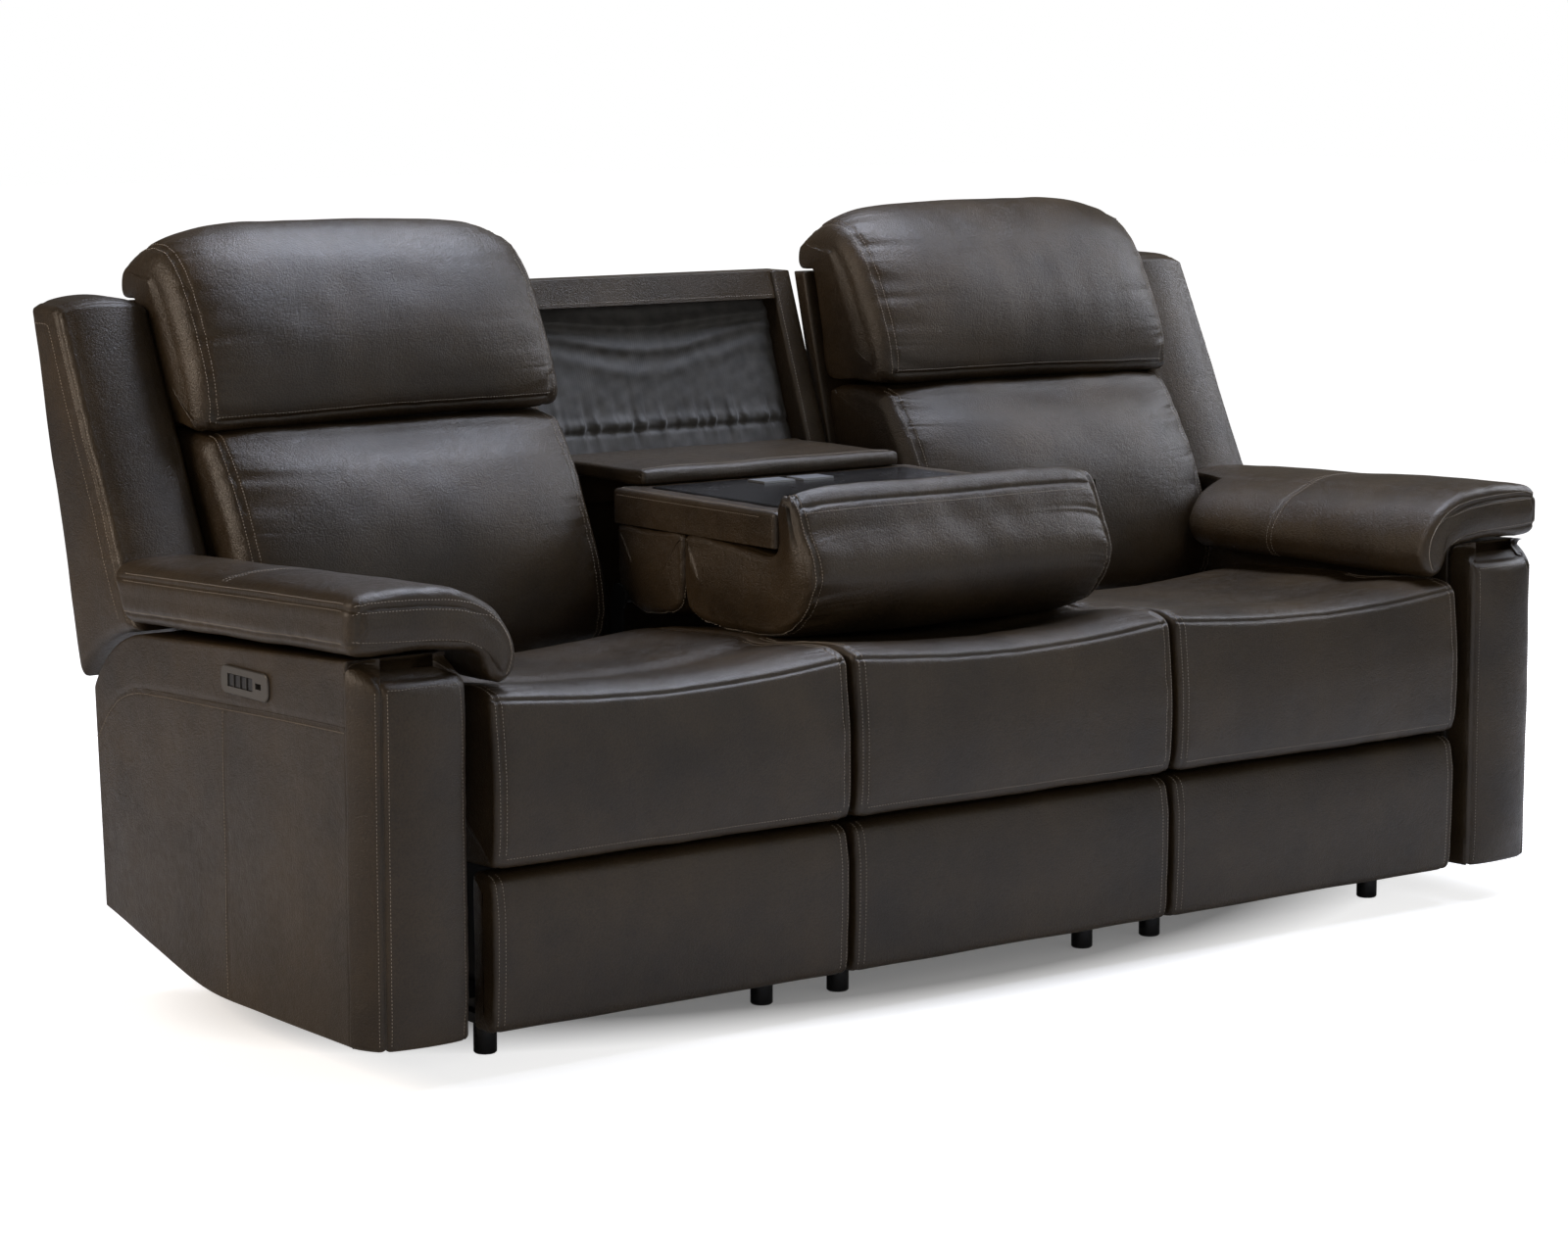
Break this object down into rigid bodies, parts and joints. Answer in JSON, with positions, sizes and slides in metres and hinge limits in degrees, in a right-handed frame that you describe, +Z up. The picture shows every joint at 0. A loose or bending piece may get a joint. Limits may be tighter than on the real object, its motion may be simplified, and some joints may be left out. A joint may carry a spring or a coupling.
{
  "type": "power reclining sofa with drop-down console",
  "caption": "Leather reclining sofa: rolled arms with side controls, outer seats with tilting headrests and lifting footrests, middle back folded down as a console.",
  "frame": {"origin": "on the floor under the middle of the sofa's bounding box", "axes": "+X to the viewer's right along the seats, +Y towards the back, +Z up"},
  "size_m": [2.19, 1.0038, 1.096],
  "materials": {
    "leather": "semi-gloss pebbled espresso leather",
    "lining_cloth": "black lining cloth",
    "dark_steel": "satin black",
    "wood": "raw plywood",
    "black_plastic": "satin black",
    "actuator_plastic": "matte black",
    "gunmetal": "satin gunmetal",
    "satin_metal": "satin"
  },
  "bodies": {
    "base": {"feet": "black_plastic", "base_side_plates": "dark_steel", "base_cross_tubes": "dark_steel", "seat_cushion_center": "leather", "seat_frame_center": "dark_steel", "seat_springs_center": "dark_steel", "center_front_panel": "leather", "center_back_frame": "leather", "center_back_lining": "lining_cloth", "center_back_panel": "leather", "console_hinges": "dark_steel", "arm_frame_left": "wood", "arm_shell_left": "leather", "arm_front_post_left": "leather", "arm_pad_left": "leather", "control_plate_left": "gunmetal", "recline_actuator_left": "actuator_plastic", "arm_frame_right": "wood", "arm_shell_right": "leather", "arm_front_post_right": "leather", "arm_pad_right": "leather", "control_plate_right": "gunmetal", "recline_actuator_right": "actuator_plastic"},
    "back_left": {"back_shell_left": "leather", "back_wing_left": "leather", "back_cushion_left": "leather", "headrest_hinge_left": "dark_steel"},
    "headrest_left": {"headrest_left": "leather"},
    "seat_left": {"seat_cushion_left": "leather", "seat_frame_left": "dark_steel", "seat_springs_left": "dark_steel"},
    "footrest_rear_link_left": {"footrest_rear_links_left": "dark_steel"},
    "footrest_front_link_left": {"footrest_front_links_left": "dark_steel"},
    "footrest_left": {"footrest_panel_left": "leather"},
    "back_right": {"back_shell_right": "leather", "back_wing_right": "leather", "back_cushion_right": "leather", "headrest_hinge_right": "dark_steel"},
    "headrest_right": {"headrest_right": "leather"},
    "seat_right": {"seat_cushion_right": "leather", "seat_frame_right": "dark_steel", "seat_springs_right": "dark_steel"},
    "footrest_rear_link_right": {"footrest_rear_links_right": "dark_steel"},
    "footrest_front_link_right": {"footrest_front_links_right": "dark_steel"},
    "footrest_right": {"footrest_panel_right": "leather"},
    "console": {"console_body": "leather", "console_tray": "black_plastic", "console_roll": "leather", "console_cushion": "leather"},
    "console_flap": {"console_flap": "leather"},
    "dock_lid_left": {"dock_lid_left": "satin_metal"},
    "dock_lid_right": {"dock_lid_right": "satin_metal"},
    "control_button_1_left": {"control_button_1_left": "black_plastic"},
    "control_button_2_left": {"control_button_2_left": "black_plastic"},
    "control_button_3_left": {"control_button_3_left": "black_plastic"},
    "control_button_4_left": {"control_button_4_left": "black_plastic"},
    "control_button_1_right": {"control_button_1_right": "black_plastic"},
    "control_button_2_right": {"control_button_2_right": "black_plastic"},
    "control_button_3_right": {"control_button_3_right": "black_plastic"},
    "control_button_4_right": {"control_button_4_right": "black_plastic"}
  },
  "joints": [
    {"name": "recline_left", "type": "hinge", "parent": "base", "child": "back_left", "pos_m": [-0.6, 0.10728, 0.342], "axis": [-1, 0, 0], "range_deg": [0, 30]},
    {"name": "seat_slide_left", "type": "slide", "parent": "base", "child": "seat_left", "axis": [0, -1, 0], "range_m": [0, 0.0605]},
    {"name": "headrest_tilt_left", "type": "hinge", "parent": "back_left", "child": "headrest_left", "pos_m": [-0.6, 0.24728, 0.804], "axis": [1, 0, 0], "range_deg": [0, 35]},
    {"name": "footrest_lift_left", "type": "hinge", "parent": "seat_left", "child": "footrest_rear_link_left", "pos_m": [-0.6, -0.37272, 0.23], "axis": [-1, 0, 0], "range_deg": [0, 94]},
    {"name": "footrest_front_link_left", "type": "hinge", "parent": "footrest_rear_link_left", "child": "footrest_front_link_left", "pos_m": [-0.6, -0.38997, 0.0659], "axis": [-1, 0, 0], "range_deg": [-140, 0]},
    {"name": "footrest_panel_left", "type": "hinge", "parent": "footrest_front_link_left", "child": "footrest_left", "pos_m": [-0.6, -0.42122, 0.24317], "axis": [-1, 0, 0], "range_deg": [0, 136]},
    {"name": "recline_right", "type": "hinge", "parent": "base", "child": "back_right", "pos_m": [0.6, 0.10728, 0.342], "axis": [-1, 0, 0], "range_deg": [0, 30]},
    {"name": "seat_slide_right", "type": "slide", "parent": "base", "child": "seat_right", "axis": [0, -1, 0], "range_m": [0, 0.0605]},
    {"name": "headrest_tilt_right", "type": "hinge", "parent": "back_right", "child": "headrest_right", "pos_m": [0.6, 0.24728, 0.804], "axis": [1, 0, 0], "range_deg": [0, 35]},
    {"name": "footrest_lift_right", "type": "hinge", "parent": "seat_right", "child": "footrest_rear_link_right", "pos_m": [0.6, -0.37272, 0.23], "axis": [-1, 0, 0], "range_deg": [0, 94]},
    {"name": "footrest_front_link_right", "type": "hinge", "parent": "footrest_rear_link_right", "child": "footrest_front_link_right", "pos_m": [0.6, -0.38997, 0.0659], "axis": [-1, 0, 0], "range_deg": [-140, 0]},
    {"name": "footrest_panel_right", "type": "hinge", "parent": "footrest_front_link_right", "child": "footrest_right", "pos_m": [0.6, -0.42122, 0.24317], "axis": [-1, 0, 0], "range_deg": [0, 136]},
    {"name": "console_fold", "type": "hinge", "parent": "base", "child": "console", "pos_m": [0, 0.09728, 0.525], "axis": [-1, 0, 0], "range_deg": [0, 103]},
    {"name": "console_flap_fold", "type": "hinge", "parent": "base", "child": "console_flap", "pos_m": [0, 0.35728, 0.701], "axis": [-1, 0, 0], "range_deg": [0, 104]},
    {"name": "dock_lid_left_hinge", "type": "hinge", "parent": "console", "child": "dock_lid_left", "pos_m": [-0.054, 0.05428, 0.6908], "axis": [-1, 0, 0], "range_deg": [0, 85]},
    {"name": "dock_lid_right_hinge", "type": "hinge", "parent": "console", "child": "dock_lid_right", "pos_m": [0.02, 0.05428, 0.6908], "axis": [-1, 0, 0], "range_deg": [0, 85]},
    {"name": "control_button_1_left_press", "type": "slide", "parent": "base", "child": "control_button_1_left", "axis": [1, 0, 0], "range_m": [0, 0.0012], "stiffness_N_per_m": 600, "springref_m": -0.001},
    {"name": "control_button_2_left_press", "type": "slide", "parent": "base", "child": "control_button_2_left", "axis": [1, 0, 0], "range_m": [0, 0.0012], "stiffness_N_per_m": 600, "springref_m": -0.001},
    {"name": "control_button_3_left_press", "type": "slide", "parent": "base", "child": "control_button_3_left", "axis": [1, 0, 0], "range_m": [0, 0.0012], "stiffness_N_per_m": 600, "springref_m": -0.001},
    {"name": "control_button_4_left_press", "type": "slide", "parent": "base", "child": "control_button_4_left", "axis": [1, 0, 0], "range_m": [0, 0.0012], "stiffness_N_per_m": 600, "springref_m": -0.001},
    {"name": "control_button_1_right_press", "type": "slide", "parent": "base", "child": "control_button_1_right", "axis": [-1, 0, 0], "range_m": [0, 0.0012], "stiffness_N_per_m": 600, "springref_m": -0.001},
    {"name": "control_button_2_right_press", "type": "slide", "parent": "base", "child": "control_button_2_right", "axis": [-1, 0, 0], "range_m": [0, 0.0012], "stiffness_N_per_m": 600, "springref_m": -0.001},
    {"name": "control_button_3_right_press", "type": "slide", "parent": "base", "child": "control_button_3_right", "axis": [-1, 0, 0], "range_m": [0, 0.0012], "stiffness_N_per_m": 600, "springref_m": -0.001},
    {"name": "control_button_4_right_press", "type": "slide", "parent": "base", "child": "control_button_4_right", "axis": [-1, 0, 0], "range_m": [0, 0.0012], "stiffness_N_per_m": 600, "springref_m": -0.001}
  ],
  "couplings": [
    {"joint": "seat_slide_left", "follows": "recline_left", "m_per_rad": 0.11459},
    {"joint": "footrest_front_link_left", "follows": "footrest_lift_left", "ratio": -1.4787},
    {"joint": "footrest_panel_left", "follows": "footrest_lift_left", "ratio": 1.4362},
    {"joint": "seat_slide_right", "follows": "recline_right", "m_per_rad": 0.11459},
    {"joint": "footrest_front_link_right", "follows": "footrest_lift_right", "ratio": -1.4787},
    {"joint": "footrest_panel_right", "follows": "footrest_lift_right", "ratio": 1.4362},
    {"joint": "console_flap_fold", "follows": "console_fold", "ratio": 1}
  ]
}
